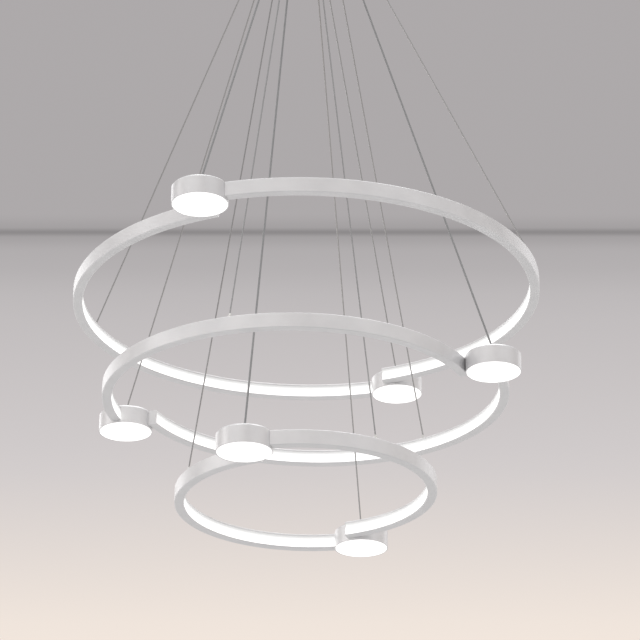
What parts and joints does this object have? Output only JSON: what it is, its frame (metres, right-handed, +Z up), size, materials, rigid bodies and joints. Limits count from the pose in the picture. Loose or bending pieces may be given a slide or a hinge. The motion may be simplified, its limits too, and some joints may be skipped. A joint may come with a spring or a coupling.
{
  "type": "led ring chandelier",
  "caption": "Ceiling light with rings of glowing channel and disc lamps, hung one above the other on thin wires from a round canopy.",
  "frame": {"origin": "the middle of the canopy, on the ceiling plane", "axes": "+Z up into the ceiling; +X to the right and +Y away in the picture's view"},
  "size_m": [0.7796, 0.8596, 1.0885],
  "materials": {
    "ring_metal": "satin silver-white",
    "canopy_paint": "satin white",
    "zinc_steel": "zinc plated, dull",
    "screw_steel": "bright",
    "nickel": "nickel plated",
    "wire_steel": "bare stranded steel",
    "flex_jacket": "grey jacket",
    "opal": "opal white, lit from behind",
    "lamp_board": "white solder mask",
    "driver_case": "matt white",
    "terminal_plastic": "matt natural"
  },
  "bodies": {
    "canopy": {"ceiling_plate": "zinc_steel", "canopy_shell": "canopy_paint", "canopy_screws": "screw_steel", "led_drivers": "driver_case", "terminal_block": "terminal_plastic", "wire_gripper_barrels": "nickel", "cord_grips": "nickel", "gripper_locknuts": "nickel", "large_wires": "wire_steel", "large_flex": "flex_jacket", "medium_wires": "wire_steel", "medium_flex": "flex_jacket", "small_wires": "wire_steel", "small_flex": "flex_jacket"},
    "large_ring": {"large_channel_a": "ring_metal", "large_channel_b": "ring_metal", "large_diffuser_a": "opal", "large_diffuser_b": "opal", "large_disc_housing_a": "ring_metal", "large_disc_housing_b": "ring_metal", "large_led_strips": "lamp_board", "large_end_plugs": "ring_metal", "large_disc_diffusers": "opal", "large_disc_boards": "lamp_board", "large_ring_screws": "screw_steel", "large_line_ends": "nickel"},
    "medium_ring": {"medium_channel_a": "ring_metal", "medium_channel_b": "ring_metal", "medium_diffuser_a": "opal", "medium_diffuser_b": "opal", "medium_disc_housing_a": "ring_metal", "medium_disc_housing_b": "ring_metal", "medium_led_strips": "lamp_board", "medium_end_plugs": "ring_metal", "medium_disc_diffusers": "opal", "medium_disc_boards": "lamp_board", "medium_ring_screws": "screw_steel", "medium_line_ends": "nickel"},
    "small_ring": {"small_channel_a": "ring_metal", "small_channel_b": "ring_metal", "small_diffuser_a": "opal", "small_diffuser_b": "opal", "small_disc_housing_a": "ring_metal", "small_disc_housing_b": "ring_metal", "small_led_strips": "lamp_board", "small_end_plugs": "ring_metal", "small_disc_diffusers": "opal", "small_disc_boards": "lamp_board", "small_ring_screws": "screw_steel", "small_line_ends": "nickel"},
    "large_disc_nose": {"large_disc_gripper_nose": "nickel"},
    "large_arc_a_nose": {"large_arc_a_gripper_nose": "nickel"},
    "large_arc_b_nose": {"large_arc_b_gripper_nose": "nickel"},
    "medium_disc_nose": {"medium_disc_gripper_nose": "nickel"},
    "medium_arc_a_nose": {"medium_arc_a_gripper_nose": "nickel"},
    "medium_arc_b_nose": {"medium_arc_b_gripper_nose": "nickel"},
    "small_disc_nose": {"small_disc_gripper_nose": "nickel"},
    "small_arc_a_nose": {"small_arc_a_gripper_nose": "nickel"},
    "small_arc_b_nose": {"small_arc_b_gripper_nose": "nickel"}
  },
  "joints": [
    {"name": "large_ring_height", "type": "slide", "parent": "canopy", "child": "large_ring", "axis": [0, 0, 1], "range_m": [0, 0.3], "deforming": ["large_wires", "large_flex"]},
    {"name": "medium_ring_height", "type": "slide", "parent": "canopy", "child": "medium_ring", "axis": [0, 0, 1], "range_m": [0, 0.13], "deforming": ["medium_wires", "medium_flex"]},
    {"name": "small_ring_height", "type": "slide", "parent": "canopy", "child": "small_ring", "axis": [0, 0, 1], "range_m": [0, 0.13], "deforming": ["small_wires", "small_flex"]},
    {"name": "large_disc_nose_press", "type": "slide", "parent": "canopy", "child": "large_disc_nose", "axis": [0, 0, 1], "range_m": [0, 0.002], "stiffness_N_per_m": 800, "springref_m": -0.004},
    {"name": "large_arc_a_nose_press", "type": "slide", "parent": "canopy", "child": "large_arc_a_nose", "axis": [0, 0, 1], "range_m": [0, 0.002], "stiffness_N_per_m": 800, "springref_m": -0.004},
    {"name": "large_arc_b_nose_press", "type": "slide", "parent": "canopy", "child": "large_arc_b_nose", "axis": [0, 0, 1], "range_m": [0, 0.002], "stiffness_N_per_m": 800, "springref_m": -0.004},
    {"name": "medium_disc_nose_press", "type": "slide", "parent": "canopy", "child": "medium_disc_nose", "axis": [0, 0, 1], "range_m": [0, 0.002], "stiffness_N_per_m": 800, "springref_m": -0.004},
    {"name": "medium_arc_a_nose_press", "type": "slide", "parent": "canopy", "child": "medium_arc_a_nose", "axis": [0, 0, 1], "range_m": [0, 0.002], "stiffness_N_per_m": 800, "springref_m": -0.004},
    {"name": "medium_arc_b_nose_press", "type": "slide", "parent": "canopy", "child": "medium_arc_b_nose", "axis": [0, 0, 1], "range_m": [0, 0.002], "stiffness_N_per_m": 800, "springref_m": -0.004},
    {"name": "small_disc_nose_press", "type": "slide", "parent": "canopy", "child": "small_disc_nose", "axis": [0, 0, 1], "range_m": [0, 0.002], "stiffness_N_per_m": 800, "springref_m": -0.004},
    {"name": "small_arc_a_nose_press", "type": "slide", "parent": "canopy", "child": "small_arc_a_nose", "axis": [0, 0, 1], "range_m": [0, 0.002], "stiffness_N_per_m": 800, "springref_m": -0.004},
    {"name": "small_arc_b_nose_press", "type": "slide", "parent": "canopy", "child": "small_arc_b_nose", "axis": [0, 0, 1], "range_m": [0, 0.002], "stiffness_N_per_m": 800, "springref_m": -0.004}
  ]
}
